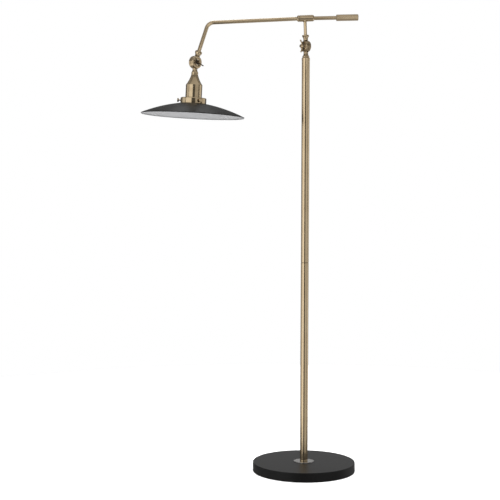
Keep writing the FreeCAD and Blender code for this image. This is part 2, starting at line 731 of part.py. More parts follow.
def centre_contact(partition):
    # A rivet through the partition with a springy tongue on the bulb's side.
    seat = -partition_top
    low = partition - contact_thickness
    rivet = turned(
        (0, seat + rivet_head_height), (rivet_head_radius, seat + rivet_head_height),
        (rivet_head_radius, seat), (rivet_radius, seat), (rivet_radius, partition),
        (rivet_foot_radius, partition), (rivet_foot_radius, low), (0, low))
    back = -contact_length * 2.0 / 3.0
    front = back + contact_length
    peak = low - contact_lift
    tongue = outline(
        (back, low), (front - contact_tip, peak), (front, peak + 0.4),
        (front, peak + 0.4 - contact_thickness), (front - contact_tip, peak - contact_thickness),
        (back, low - contact_thickness))
    half = contact_width / 2.0
    tongue = placed(tongue, shift(0, -half, 0)).extrude(vec(0, contact_width, 0))
    strip = Part.makeBox(contact_length / 2.0, contact_width, contact_thickness,
                         vec(back, -half, low - contact_thickness))
    return rivet.fuse(tongue).fuse(strip).removeSplitter()


def put_in_head(name, shape):
    parts[name] = placed(shape, head_frame)


def thumb_screw(angle):
    tip = shade_neck_radius + loose_fit
    end = screw_head_start + screw_head_width
    edge = screw_head_edge
    screw = turned(
        (0, tip), (screw_radius - screw_point, tip), (screw_radius, tip + screw_point),
        (screw_radius, screw_head_start), (screw_head_radius - edge, screw_head_start),
        (screw_head_radius, screw_head_start + edge), (screw_head_radius, end - edge),
        (screw_head_radius - edge, end), (0, end))
    flute = rod(screw_flute_radius, screw_head_start - 1, end + 1)
    flutes = [placed(flute, turn_about(z_axis, 360.0 * i / screw_head_flutes).multiply(
              shift(screw_flute_place, 0, 0))) for i in range(screw_head_flutes)]
    screw = screw.cut(Part.makeCompound(flutes))
    spot = shift(0, 0, -holder_top - screw_height).multiply(turn_about(z_axis, angle))
    return placed(screw, spot.multiply(turn_about(vec(0, 1, 0), 90)))


def build_shade():
    top = -holder_top
    bottom = -holder_top - holder_height
    wall_in = holder_radius - holder_wall
    holder = turned(
        (lampholder_radius + thread_fit, top), (holder_radius - holder_edge, top),
        round_step((holder_radius - holder_edge, top - holder_edge), holder_edge, 90, 0),
        (holder_radius, bottom), (wall_in, bottom), (wall_in, top - holder_edge),
        round_step((holder_radius - holder_edge, top - holder_edge), holder_edge - holder_wall, 0, 90),
        (lampholder_radius + thread_fit, top - holder_wall))
    put_in_head("shade_ring_nut", tube(ring_nut_radius, lampholder_radius + thread_fit,
                                       top - holder_wall - ring_nut_height, top - holder_wall))
    for i in range(screw_count):
        angle = screw_first_angle + 360.0 * i / screw_count + head_heading
        spot = shift(0, 0, top - screw_height).multiply(turn_about(z_axis, angle))
        hole = rod(screw_radius + running_fit, holder_radius - 6, holder_radius + 4)
        holder = holder.cut(placed(hole, spot.multiply(turn_about(vec(0, 1, 0), 90))))
        put_in_head("fitter_screw_%d" % (i + 1), thumb_screw(angle))
    put_in_head("shade_holder", holder)

    rim = bottom - shade_depth
    edge = rim + shade_rim
    neck_top = bottom + shade_neck_height
    bead_foot = neck_top - shade_bead_height
    run = shade_radius - holder_radius
    fall = shade_depth - shade_rim
    length = math.hypot(run, fall)
    crown = (holder_radius + run / 2.0 + shade_crown * fall / length,
             bottom - fall / 2.0 + shade_crown * run / length)
    under = (crown[0] - shade_wall * fall / length, crown[1] - shade_wall * run / length)
    inside = shade_radius - shade_wall
    neck_bore = shade_neck_radius - shade_wall
    put_in_head("shade", turned(
        (neck_bore, neck_top), (shade_neck_radius + shade_bead, neck_top),
        (shade_neck_radius + shade_bead, bead_foot), (shade_neck_radius, bead_foot),
        (shade_neck_radius, bottom), (holder_radius, bottom), (crown, (shade_radius, edge)),
        (shade_radius, rim), (shade_radius - shade_rim_bead, rim),
        (shade_radius - shade_rim_bead, rim + shade_wall), (inside, edge - shade_wall),
        (under, (holder_radius, bottom - shade_wall)), (neck_bore, bottom - shade_wall)))


# ---- assembly -----------------------------------------------------------

# Heading of the row's +X in the head's frame, so that the thumb screws keep
# their places round the holder whatever way the knuckle is turned.
row_x = head_frame.Rotation.inverted().multVec(vec(1, 0, 0))
head_heading = math.degrees(math.atan2(row_x.y, row_x.x))

pole_foot = build_base()
build_pole(pole_foot)
build_knuckle("pole", lower_frame, upper_frame, pole_puck_radius, pole_boss_radius, pole_wing_turn,
              (neck_radius, lip_radius, pole_lip_end, nipple_radius + thread_fit),
              (neck_radius, lip_radius, pole_lip_end, stem_radius + running_fit))
build_knuckle("lamp", head_frame, collar_frame, lamp_puck_radius, lamp_boss_radius, lamp_wing_turn,
              (lamp_neck_radius - 0.3, lamp_lip_radius - 0.3, lamp_lip_end, nipple_radius + thread_fit),
              (lamp_neck_radius, lamp_lip_radius, lamp_lip_end, arm_radius + running_fit))
build_arm()
build_balance()
build_socket()
build_shade()

os.makedirs("parts", exist_ok=True)
for name, shape in parts.items():
    solids = shape.Solids
    if len(solids) > 1:
        shape = Part.makeCompound(solids)
    shape.exportStep(os.path.join("parts", name + ".step"))

# Places and directions of the joints, for whoever writes down the motions.
for name, frame, direction in (
        ("arm_tilt", lower_frame, vec(1, 0, 0)), ("arm_swivel", stem_frame, z_axis),
        ("head_swivel", collar_frame, z_axis), ("head_tilt", collar_frame, vec(1, 0, 0)),
        ("head_axis", head_frame, z_axis), ("sleeve", sleeve_frame, vec(1, 0, 0))):
    axis = frame.Rotation.multVec(direction)
    print(name, [round(v, 4) for v in frame.Base], [round(v, 6) for v in axis])
for i in range(screw_count):
    angle = math.radians(screw_first_angle + 360.0 * i / screw_count + head_heading)
    axis = head_frame.Rotation.multVec(vec(math.cos(angle), math.sin(angle), 0))
    base = head_frame.multVec(vec(0, 0, -holder_top - screw_height))
    print("fitter_screw_%d" % (i + 1), [round(v, 4) for v in base], [round(v, 6) for v in axis])
print(len(parts), "nodes")
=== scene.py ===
import json
import math

import bpy
from mathutils import Matrix, Vector

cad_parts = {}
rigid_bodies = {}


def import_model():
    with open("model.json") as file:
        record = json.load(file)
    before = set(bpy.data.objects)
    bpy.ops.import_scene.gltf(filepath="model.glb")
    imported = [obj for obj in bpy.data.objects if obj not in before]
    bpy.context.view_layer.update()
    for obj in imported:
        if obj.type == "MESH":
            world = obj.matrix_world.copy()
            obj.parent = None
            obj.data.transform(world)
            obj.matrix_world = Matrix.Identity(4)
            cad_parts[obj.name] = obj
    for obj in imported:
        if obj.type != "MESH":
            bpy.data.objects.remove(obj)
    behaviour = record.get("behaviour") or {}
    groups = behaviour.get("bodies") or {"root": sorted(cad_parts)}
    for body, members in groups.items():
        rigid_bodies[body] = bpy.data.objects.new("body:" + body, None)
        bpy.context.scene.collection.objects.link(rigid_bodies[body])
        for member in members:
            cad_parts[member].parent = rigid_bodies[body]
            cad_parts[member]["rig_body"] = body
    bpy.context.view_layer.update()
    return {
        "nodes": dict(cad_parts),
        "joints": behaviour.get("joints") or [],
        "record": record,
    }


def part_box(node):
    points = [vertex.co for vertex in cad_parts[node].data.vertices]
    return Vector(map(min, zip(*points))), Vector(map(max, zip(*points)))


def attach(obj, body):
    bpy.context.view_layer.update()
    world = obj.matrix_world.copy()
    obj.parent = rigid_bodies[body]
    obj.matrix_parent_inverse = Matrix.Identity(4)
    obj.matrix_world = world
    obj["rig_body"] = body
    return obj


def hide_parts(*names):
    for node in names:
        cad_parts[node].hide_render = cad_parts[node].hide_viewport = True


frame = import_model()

# Pharmacy floor lamp. Metres, +Z up, the base stands on the origin and the arm points to -X.
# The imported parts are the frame: what is modelled here is set on their axes.

nodes = frame["nodes"]
joints = {joint["name"]: joint for joint in frame["joints"]}
mounts = {mount["name"]: mount for mount in frame["record"]["mounts"]}
mm = 0.001


# places

def jointSpot(name):
    return Vector(joints[name]["pos_m"]), Vector(joints[name]["axis"]).normalized()


def placeOn(origin, upward, across):
    # matrix that carries a piece modelled round the world origin to its place
    up = upward.normalized()
    side = (across - up * across.dot(up)).normalized()
    front = up.cross(side)
    return Matrix.Translation(origin) @ Matrix((side, front, up)).transposed().to_4x4()


poleHinge, poleHingeLine = jointSpot("arm_tilt")
lampHinge, lampHingeLine = jointSpot("head_tilt")
headDown = Vector(mounts["bulb_socket"]["axis"]).normalized()
headPlace = placeOn(lampHinge, -headDown, lampHingeLine)


# small modelling helpers

def deselectAll():
    if bpy.context.mode != "OBJECT":
        bpy.ops.object.mode_set(mode="OBJECT")
    bpy.ops.object.select_all(action="DESELECT")


def editNew(mode="VERT"):
    bpy.ops.object.mode_set(mode="EDIT")
    bpy.ops.mesh.select_mode(type=mode)


def pick(piece, kind, wanted):
    # selects the faces, edges or vertices of the piece in edit mode that pass a test
    bpy.ops.mesh.select_all(action="DESELECT")
    bpy.ops.object.mode_set(mode="OBJECT")
    mesh = piece.data
    for item in {"FACE": mesh.polygons, "EDGE": mesh.edges, "VERT": mesh.vertices}[kind]:
        item.select = wanted(item)
    bpy.ops.object.mode_set(mode="EDIT")
    bpy.ops.mesh.select_mode(type=kind)


def edgeMiddle(piece, edge):
    a, b = (piece.data.vertices[i].co for i in edge.vertices)
    return (a + b) / 2


def addModifier(piece, kind, **settings):
    modifier = piece.modifiers.new(kind.lower(), kind)
    for key, value in settings.items():
        setattr(modifier, key, value)
    bpy.context.view_layer.objects.active = piece
    bpy.ops.object.modifier_apply(modifier=modifier.name)


def drawProfile(name, profile):
    # a line of (radius, height) points, drawn one after another from a single vertex
    deselectAll()
    bpy.ops.mesh.primitive_plane_add(size=mm)
    piece = bpy.context.object
    piece.name = name
    piece.data.name = name
    editNew()
    bpy.ops.mesh.select_all(action="SELECT")
    bpy.ops.mesh.merge(type="CENTER")
    bpy.ops.transform.translate(value=(profile[0][0], 0, profile[0][1]))
    for (r0, z0), (r1, z1) in zip(profile, profile[1:]):
        bpy.ops.mesh.extrude_region_move(TRANSFORM_OT_translate={"value": (r1 - r0, 0, z1 - z0)})
    return piece


def closeUp():
    # merges what met and turns every face outwards, in edit mode
    bpy.ops.mesh.select_all(action="SELECT")
    bpy.ops.mesh.remove_doubles(threshold=0.02 * mm)
    bpy.ops.mesh.normals_make_consistent(inside=False)


def turnProfile(name, profile, steps=96):
    # lathe work: the profile is spun about Z
    piece = drawProfile(name, profile)
    bpy.ops.mesh.select_all(action="SELECT")
    bpy.ops.mesh.spin(steps=steps, angle=math.tau, center=(0, 0, 0), axis=(0, 0, 1))
    closeUp()
    bpy.ops.object.mode_set(mode="OBJECT")
    return piece


def arcPoints(centre, radius, start, end, count):
    # round stretch of a profile, angles in degrees
    points = []
    for i in range(count + 1):
        angle = math.radians(start + (end - start) * i / count)
        points.append((centre[0] + radius * math.cos(angle), centre[1] + radius * math.sin(angle)))
    return points


def settle(piece, place, body, slotName, *replaced):
    # carries a finished piece to its place, leaves its object at the origin and ties it to its body
    deselectAll()
    piece.select_set(True)
    bpy.context.view_layer.objects.active = piece
    piece.matrix_world = place @ piece.matrix_world
    bpy.ops.object.transform_apply(location=True, rotation=True, scale=True)
    bpy.ops.object.shade_smooth_by_angle(angle=math.radians(32))
    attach(piece, body)
    if replaced:
        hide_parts(*replaced)
    return piece


def localBox(node, place):
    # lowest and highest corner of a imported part, seen along a place of its own
    back = place.inverted()
    corners = [back @ vertex.co for vertex in nodes[node].data.vertices]
    low = Vector(min(corner[i] for corner in corners) for i in range(3))
    high = Vector(max(corner[i] for corner in corners) for i in range(3))
    return low, high


def middleOf(node):
    low, high = (Vector(corner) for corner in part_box(node))
    return (low + high) / 2


# materials

def newFinish(name, **constants):
    # a Principled material with its constant values set on the shader's own sockets
    material = bpy.data.materials.new(name)
    material.use_nodes = True
    shader = material.node_tree.nodes["Principled BSDF"]
    for key, value in constants.items():
        shader.inputs[key.replace("_", " ")].default_value = value
    return material, material.node_tree, shader


def addNode(tree, kind, inputs=None, **settings):
    node = tree.nodes.new(kind)
    for key, value in settings.items():
        setattr(node, key, value)
    for key, value in (inputs or {}).items():
        node.inputs[key].default_value = value
    return node


def stretched(tree, scale):
    # Object coordinates, scaled apart along X, Y and Z
    coords = addNode(tree, "ShaderNodeTexCoord")
    mapping = addNode(tree, "ShaderNodeMapping", {"Scale": scale})
    tree.links.new(coords.outputs["Object"], mapping.inputs["Vector"])
    return mapping.outputs["Vector"]


def noiseOn(tree, vector, scale, detail=3.0, roughness=0.5):
    noise = addNode(tree, "ShaderNodeTexNoise",
                    {"Scale": scale, "Detail": detail, "Roughness": roughness})
    tree.links.new(vector, noise.inputs["Vector"])
    return noise.outputs["Fac"]


def spread(tree, factor, low, high, start=0.3, end=0.7):
    # the middle of a noise, stretched to run from low to high
    ranged = addNode(tree, "ShaderNodeMapRange",
                     {"From Min": start, "From Max": end, "To Min": low, "To Max": high})
    tree.links.new(factor, ranged.inputs["Value"])
    return ranged.outputs["Result"]


def blendColours(tree, factor, first, second):
    mix = addNode(tree, "ShaderNodeMix", data_type="RGBA")
    for socket, colour in ((mix.inputs[6], first), (mix.inputs[7], second)):
        if hasattr(colour, "is_linked"):
            tree.links.new(colour, socket)
        else:
            socket.default_value = (*colour, 1)
    tree.links.new(factor, mix.inputs["Factor"])
    return mix.outputs[2]


def bumpFrom(tree, shader, height, distance):
    bump = addNode(tree, "ShaderNodeBump", {"Distance": distance, "Strength": 1.0})
    tree.links.new(height, bump.inputs["Height"])
    tree.links.new(bump.outputs["Normal"], shader.inputs["Normal"])


def shadeAndPatinaInRecesses(tree, colour, shadeAndPatina, reach):
    # patina stays where a finger can't rub it off, and the same darkening paints shade into the
    # recesses where shadow falls between parts
    shelter = addNode(tree, "ShaderNodeAmbientOcclusion", {"Distance": reach}, samples=8)
    return blendColours(tree, spread(tree, shelter.outputs["AO"], 1, 0, 0.3, 0.8), colour, shadeAndPatina)


def speckled(name, look):
    # the common finish: two tones in soft blotches, fine grain in roughness and bump
    material, tree, shader = newFinish(name, Metallic=look.get("metallic", 0.0),
                                       IOR=look.get("ior", 1.5))
    grain = noiseOn(tree, stretched(tree, look.get("grainWay", (1, 1, 1))), look["grain"], 4.0, 0.6)
    blotch = noiseOn(tree, stretched(tree, (1, 1, 1)), look["blotch"], 3.0, 0.55)
    blotchTone = blendColours(tree, spread(tree, blotch, 0, 1), look["light"], look["dark"])
    toned = blendColours(tree, spread(tree, grain, 0, look["grainTone"]), blotchTone, look["dark"])
    # patina and painted shade in the recesses, for looks that give them
    if "shadeAndPatina" in look:
        toned = shadeAndPatinaInRecesses(tree, toned, look["shadeAndPatina"], look["shadeAndPatinaReach"])
    tree.links.new(toned, shader.inputs["Base Color"])
    low, high = look["roughness"]
    tree.links.new(spread(tree, grain, low, high), shader.inputs["Roughness"])
    bumpFrom(tree, shader, grain, look["bump"] * mm)
    return material


brassLook = {
    "metallic": 1.0, "light": (0.6, 0.475, 0.31), "dark": (0.52, 0.4, 0.25),
    "blotch": 14, "grain": 500, "grainTone": 0.2, "roughness": (0.13, 0.18), "bump": 0.0005,
    # patina and painted shade in the recesses, and how far round a recess they reach
    "shadeAndPatina": (0.035, 0.024, 0.012), "shadeAndPatinaReach": 5 * mm,
}
alongPole = {"grainWay": (3, 3, 0.02)}      # fine lines up and down
alongArm = {"grainWay": (0.02, 3, 3)}
# painted shade: a darker copy of the brass for the sleeve, its lock ring, the balance rod and the
# counterweight
shadedArmLook = {"light": (0.5, 0.395, 0.258), "dark": (0.43, 0.33, 0.207)}
# painted shade: a darker copy of the brass for the pole knuckle
knuckleLook = {"light": (0.4, 0.31, 0.2), "dark": (0.32, 0.245, 0.15), "blotch": 60}
# painted shade: a darker copy of the pole brass for the seam ring, for the dark line of the joint
seamLook = {"light": (0.36, 0.275, 0.175), "dark": (0.28, 0.21, 0.13)}
# painted shade: a darker copy of the brass for the head and the leg's collar
headLook = {"light": (0.51, 0.405, 0.262), "dark": (0.41, 0.315, 0.195), "blotch": 60}
# painted shade: a dark copy of the brass for the lamp's wing nut, which sits in shadow
wingNutShadeLook = {"light": (0.15, 0.11, 0.065), "dark": (0.07, 0.05, 0.03), "blotch": 90}
looks = {
    "antique_brass": brassLook,
    "base_enamel": {"light": (0.0026, 0.0025, 0.0024), "dark": (0.002, 0.0019, 0.0018),
                    "blotch": 30, "ior": 1.3, "grain": 900, "grainTone": 0.5,
                    "roughness": (0.36, 0.46), "bump": 0.02},
    "iron": {"metallic": 1.0, "light": (0.09, 0.085, 0.08), "dark": (0.05, 0.045, 0.04), "blotch": 60,
             "grain": 400, "grainTone": 0.6, "roughness": (0.55, 0.8), "bump": 0.25},
    "pad_felt": {"light": (0.02, 0.02, 0.021), "dark": (0.008, 0.008, 0.009), "blotch": 120,
                 "grain": 1600, "grainTone": 0.8, "roughness": (0.9, 1.0), "bump": 0.3},
    "black_rubber": {"light": (0.022, 0.022, 0.022), "dark": (0.014, 0.014, 0.014), "blotch": 80,
                     "grain": 1200, "grainTone": 0.4, "roughness": (0.55, 0.7), "bump": 0.02},
    "bright_trim": {"metallic": 1.0, "light": (0.31, 0.3, 0.29), "dark": (0.27, 0.26, 0.25),
                    "blotch": 40, "grain": 700, "grainTone": 0.2, "roughness": (0.16, 0.22),
                    "bump": 0.001},
    "plain_steel": {"metallic": 1.0, "light": (0.5, 0.5, 0.49), "dark": (0.36, 0.36, 0.35),
                    "blotch": 90, "grain": 700, "grainTone": 0.4, "roughness": (0.3, 0.45),
                    "bump": 0.01},
    "lead_sheath": {"light": (0.06, 0.055, 0.05), "dark": (0.04, 0.036, 0.03), "blotch": 70,
                    "grain": 900, "grainTone": 0.3, "roughness": (0.4, 0.55), "bump": 0.01},
    "friction_fibre": {"light": (0.07, 0.045, 0.03), "dark": (0.03, 0.02, 0.014), "blotch": 150,
                       "grain": 1500, "grainTone": 0.6, "roughness": (0.75, 0.9), "bump": 0.05},
    "phenolic": {"light": (0.03, 0.02, 0.016), "dark": (0.014, 0.01, 0.009), "blotch": 70,
                 "grain": 600, "grainTone": 0.4, "roughness": (0.3, 0.42), "bump": 0.01},
    "contact_brass": {"metallic": 1.0, "light": (0.8, 0.62, 0.33), "dark": (0.66, 0.48, 0.24),
                      "blotch": 90, "grain": 700, "grainTone": 0.3, "roughness": (0.2, 0.35),
                      "bump": 0.01},
    "shade_enamel": {"light": (0.006, 0.0058, 0.0056), "dark": (0.0046, 0.0044, 0.0043),
                     "blotch": 20, "ior": 1.14, "grain": 800, "grainTone": 0.5,
                     "roughness": (0.34, 0.44), "bump": 0.015},
}
finishes = {name: speckled(name + "_finish", look) for name, look in looks.items()}
poleBrass = speckled("brass_along_pole", {**brassLook, **alongPole})
armBrass = speckled("brass_along_arm", {**brassLook, **alongArm})
shadedArmBrass = speckled("painted_shade_brass_along_arm", {**brassLook, **alongArm, **shadedArmLook})
knuckleBrass = speckled("brass_of_pole_knuckle", {**brassLook, **knuckleLook})
seamBrass = speckled("brass_of_pole_seam", {**brassLook, **alongPole, **seamLook})
headBrass = speckled("brass_of_head", {**brassLook, **headLook})
wingNutShadeBrass = speckled("brass_painted_in_wing_nut_shade", {**brassLook, **wingNutShadeLook})
whiteEnamel = speckled("white_enamel", {
    "light": (0.315, 0.316, 0.322), "dark": (0.293, 0.294, 0.3), "blotch": 25, "grain": 900,
    "grainTone": 0.3, "roughness": (0.42, 0.48), "bump": 0.002})

poleRun = ("lower_pole", "upper_pole", "pole_cap", "stem")
shadedArmRun = ("t_sleeve", "sleeve_lock_ring", "balance_rod", "counterweight")
knuckleRun = ("pole_knuckle_lower", "pole_knuckle_upper", "pole_clamp_screw", "pole_nut_washer")
for name, node in nodes.items():
    slot = node.material_slots[0]
    slot.material = finishes[slot.material.name]
    if name in poleRun:
        slot.material = poleBrass
    # the seam ring gets its darker copy of the pole brass, painted shade
    elif name == "coupler_stud":
        slot.material = seamBrass
    elif name == "arm_tube":
        slot.material = armBrass
    # the arm's sleeve group gets its darker copy of the brass, painted shade
    elif name in shadedArmRun:
        slot.material = shadedArmBrass
    # the knuckle's brass parts get their darker copy of the brass, painted shade
    elif slot.material == finishes["antique_brass"] and name in knuckleRun:
        slot.material = knuckleBrass
    # the head's brass parts get their darker copy of the brass, painted shade
    elif slot.material == finishes["antique_brass"] and node["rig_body"] in ("head", "leg_collar"):
        slot.material = headBrass
print("materials on the packed parts")


# shade

shadeShape = {
    "wall": 0.9 * mm, "neckRadius": 38.0 * mm, "neckRoll": 0.9 * mm, "shoulderRadius": 41 * mm,
    "shoulderRound": 1.6 * mm, "crown": 4.4 * mm, "rimDrop": 3.0 * mm, "hem": 1.1 * mm,
    "play": 0.05 * mm, "neckArc": (-60, 180), "shoulderArc": (180, 255), "hemArc": (0, -100),
    # the white enamel wraps round the hem: how far up, how far in, and which faces look down
    "whiteUp": 2.31 * mm, "whiteIn": 0.1 * mm, "whiteDown": -0.3, "crownPoints": 40, "steps": 160,
}


def makeShade(shape):
    low, high = localBox("shade", headPlace)
    rim, neckTop = low.z, high.z
    rimRadius = high.x - shape["play"]
    shoulder = localBox("shade_holder", headPlace)[0].z
    neck, roll, bend, hem = (shape[key] for key in ("neckRadius", "neckRoll", "shoulderRound", "hem"))

    # rolled edge, straight neck, small round into the shoulder
    profile = arcPoints((neck + roll, neckTop - roll), roll, *shape["neckArc"], 8)
    profile.append((neck, shoulder + bend))
    profile += arcPoints((neck + bend, shoulder + bend), bend, *shape["shoulderArc"], 5)[1:]

    # shallow dome: the arc through shoulder and rim that rises by the crown between them
    run = rimRadius - shape["shoulderRadius"]
    fall = shoulder - rim - shape["rimDrop"]
    chord = math.hypot(run, fall)
    radius = (chord ** 2 / 4 + shape["crown"] ** 2) / (2 * shape["crown"])
    middle = Vector((rimRadius - run / 2, shoulder - fall / 2))
    centre = middle - Vector((fall, run)) / chord * (radius - shape["crown"])
    first, last = (math.degrees(math.atan2(z - centre.y, r - centre.x))
                   for r, z in ((shape["shoulderRadius"], shoulder), (rimRadius, shoulder - fall)))
    profile += arcPoints(centre, radius, first, last, shape["crownPoints"])

    # straight rim with its edge turned inwards
    profile.append((rimRadius, rim + hem))
    profile += arcPoints((rimRadius - hem, rim + hem), hem, *shape["hemArc"], 6)[1:]

    piece = turnProfile("shadeShell", profile, shape["steps"])
    piece.data.materials.append(finishes["shade_enamel"])
    piece.data.materials.append(whiteEnamel)
    addModifier(piece, "SOLIDIFY", thickness=shape["wall"], offset=-1, material_offset=1,
                use_even_offset=True)
    editNew("FACE")
    pick(piece, "FACE", lambda face: face.center.z < rim + shape["whiteUp"]
         and (face.normal.z < shape["whiteDown"]
              or face.center.to_2d().length < rimRadius - shape["whiteIn"]))
    piece.active_material_index = 1
    bpy.ops.object.material_slot_assign()
    bpy.ops.object.mode_set(mode="OBJECT")
    return settle(piece, headPlace, "head", "shade_enamel", "shade")


makeShade(shadeShape)
print("shade")


# wing nuts

wingNutShape = {
    "bore": 3.05 * mm, "hub": 6.2 * mm, "collar": 2.2 * mm, "hubTop": 4.9 * mm, "edge": 0.6 * mm,
    "countersink": 0.5 * mm, "tipDepth": 0.3 * mm, "steps": 48,
    # one wing, section by section outwards: distance, lowest, highest, thickness
    "wing": [(3.2, 0.5, 6.6, 3.3), (6.8, 0.5, 5.6, 3.1), (10.4, 1.1, 5.9, 2.8), (13.6, 2.4, 7.6, 3.0),
             (16.6, 3.6, 10.4, 3.4), (19.2, 4.4, 10.6, 3.4), (20.4, 5.6, 9.4, 2.6)],
}


def makeWing(sections):
    # pulled out of a block by extruding its end face, then smoothed like a casting
    reach, low, high, thickness = (value * mm for value in sections[0])
    deselectAll()
    bpy.ops.mesh.primitive_cube_add(size=1, location=(reach / 2 + 0.5 * mm, 0, (low + high) / 2),
                                    scale=(reach - 1 * mm, thickness, high - low))
    wing = bpy.context.object
    bpy.ops.object.transform_apply(location=True, rotation=True, scale=True)
    editNew("FACE")
    pick(wing, "FACE", lambda face: face.normal.x > 0.9)
    for before, after in zip(sections, sections[1:]):
        heights = (before[2] - before[1], after[2] - after[1])
        rise = (after[1] + after[2] - before[1] - before[2]) / 2
        bpy.ops.mesh.extrude_region_move(
            TRANSFORM_OT_translate={"value": ((after[0] - before[0]) * mm, 0, rise * mm)})
        bpy.ops.transform.resize(
            value=(1, after[3] / before[3], heights[1] / heights[0]),
            center_override=(after[0] * mm, 0, (after[1] + after[2]) / 2 * mm))
    bpy.ops.object.mode_set(mode="OBJECT")
    addModifier(wing, "SUBSURF", levels=3, render_levels=3)
    return wing


def makeWingNut(name, node, place, finish, body, shape):
    low, high = localBox(node, place)
    seat, top = low.z, high.z
    edge, bore, sink = shape["edge"], shape["bore"], shape["countersink"]
    profile = [(bore, seat), (shape["hub"] - edge / 2, seat), (shape["hub"], seat + edge / 2),
               (shape["hub"], seat + shape["collar"])]
    profile += arcPoints((shape["hubTop"] - edge, top - edge), edge, 10, 90, 5)
    profile += [(bore + sink, top), (bore, top - sink), (bore, seat)]
    nut = turnProfile(name, profile, shape["steps"])
    wing = makeWing(shape["wing"])
    editNew()
    bpy.ops.mesh.select_all(action="SELECT")
    bpy.ops.transform.translate(value=(0, 0, seat))
    bpy.ops.mesh.duplicate()
    bpy.ops.transform.rotate(value=math.pi, orient_axis="Z", center_override=(0, 0, 0))
    bpy.ops.object.mode_set(mode="OBJECT")
    nut.select_set(True)
    bpy.context.view_layer.objects.active = nut
    bpy.ops.object.join()
    nut.data.materials.append(finish)
    return settle(nut, place, body, "antique_brass", node)


def wingPlace(node, centre, axis):
    # local Z along the clamp screw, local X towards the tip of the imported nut's wing
    place = placeOn(centre, axis, Vector((0.1, 0.2, 1)))      # any slant way across will do
    back = place.inverted()
    flats = [(back @ vertex.co).to_2d() for vertex in nodes[node].data.vertices]
    farthest = max(flats, key=lambda flat: flat.length)
    reach = farthest.length - wingNutShape["tipDepth"]
    tip = [flat for flat in flats if flat.dot(farthest) > 0 and flat.length > reach]
    way = sum(tip, Vector((0, 0)))
    return placeOn(centre, axis, place.to_3x3() @ way.to_3d())


makeWingNut("poleWingNut", "pole_wing_nut", wingPlace("pole_wing_nut", poleHinge, poleHingeLine),
            finishes["antique_brass"], "pole_wing_nut", wingNutShape)
# the lamp's wing nut gets the dark copy of the brass, painted shade
makeWingNut("lampWingNut", "lamp_wing_nut", wingPlace("lamp_wing_nut", lampHinge, lampHingeLine),
            wingNutShadeBrass, "lamp_wing_nut", wingNutShape)
print("wing nuts")


# clamp screws

clampScrewShape = {
    "head": 6.5 * mm, "headHeight": 4.0 * mm, "headEdge": 1.4 * mm, "headRound": 0.5 * mm,
    "shank": 3.0 * mm, "thread": 1.0 * mm, "threadDepth": 0.45 * mm, "threadLand": 0.1 * mm,
    "threadRoot": 0.5 * mm, "tip": 0.5 * mm, "threaded": 6, "slotWidth": 1.3 * mm,
    "slotDepth": 1.2 * mm, "steps": 48,
}


def cutWith(piece, cutter):
    # takes the cutter's shape out of the piece, and the cutter off the scene
    addModifier(piece, "BOOLEAN", object=cutter, operation="DIFFERENCE", solver="EXACT")
    bpy.data.objects.remove(cutter)


def makeClampScrew(name, node, place, body, shape):
    low, high = localBox(node, place)
    seat = low.z + shape["headHeight"]
    radius, edge, shank = shape["head"], shape["headEdge"], shape["shank"]
    rise = seat - edge - low.z
    dome = (radius ** 2 + rise ** 2) / (2 * rise)
    spread = math.degrees(math.asin(radius / dome))
    profile = [(r, low.z + dome + z) for r, z in arcPoints((0, 0), dome, -90, -90 + spread, 10)]
    profile[0] = (0, low.z)
    profile += [(radius, seat - edge + shape["headRound"]), (radius, seat), (shank, seat)]
    z = high.z - shape["threaded"] * shape["thread"] - shape["tip"]
    for turn in range(shape["threaded"]):
        profile += [(shank, z + shape["threadLand"]),
                    (shank - shape["threadDepth"], z + shape["threadRoot"])]
        z += shape["thread"]
    profile += [(shank, z + shape["threadLand"]), (shank - shape["tip"], high.z), (0, high.z)]
    piece = turnProfile(name, profile, shape["steps"])
    deselectAll()
    bpy.ops.mesh.primitive_cube_add(
        size=1, location=(0, 0, low.z),
        scale=(4 * radius, shape["slotWidth"], 2 * shape["slotDepth"]))
    cutWith(piece, bpy.context.object)
    piece.data.materials.append(nodes[node].material_slots[0].material)
    return settle(piece, place, body, "antique_brass", node)


for name, node, centre, line, body in (
        ("poleClampScrew", "pole_clamp_screw", poleHinge, poleHingeLine, "pole_yoke"),
        ("lampClampScrew", "lamp_clamp_screw", lampHinge, lampHingeLine, "leg_collar")):
    makeClampScrew(name, node, placeOn(centre, line, Vector((0, 0, 1))), body, clampScrewShape)
print("clamp screws")


# thumb screws of the shade holder

thumbScrewShape = {
    "head": 6.0 * mm, "width": 4.6 * mm, "flutes": 24, "fluteDepth": 0.35 * mm, "edge": 0.6 * mm,
    "dish": 0.5 * mm, "dishRim": 1.3 * mm, "shank": 2.0 * mm, "point": 0.5 * mm,
    "fluteLand": 0.08 * mm,
}


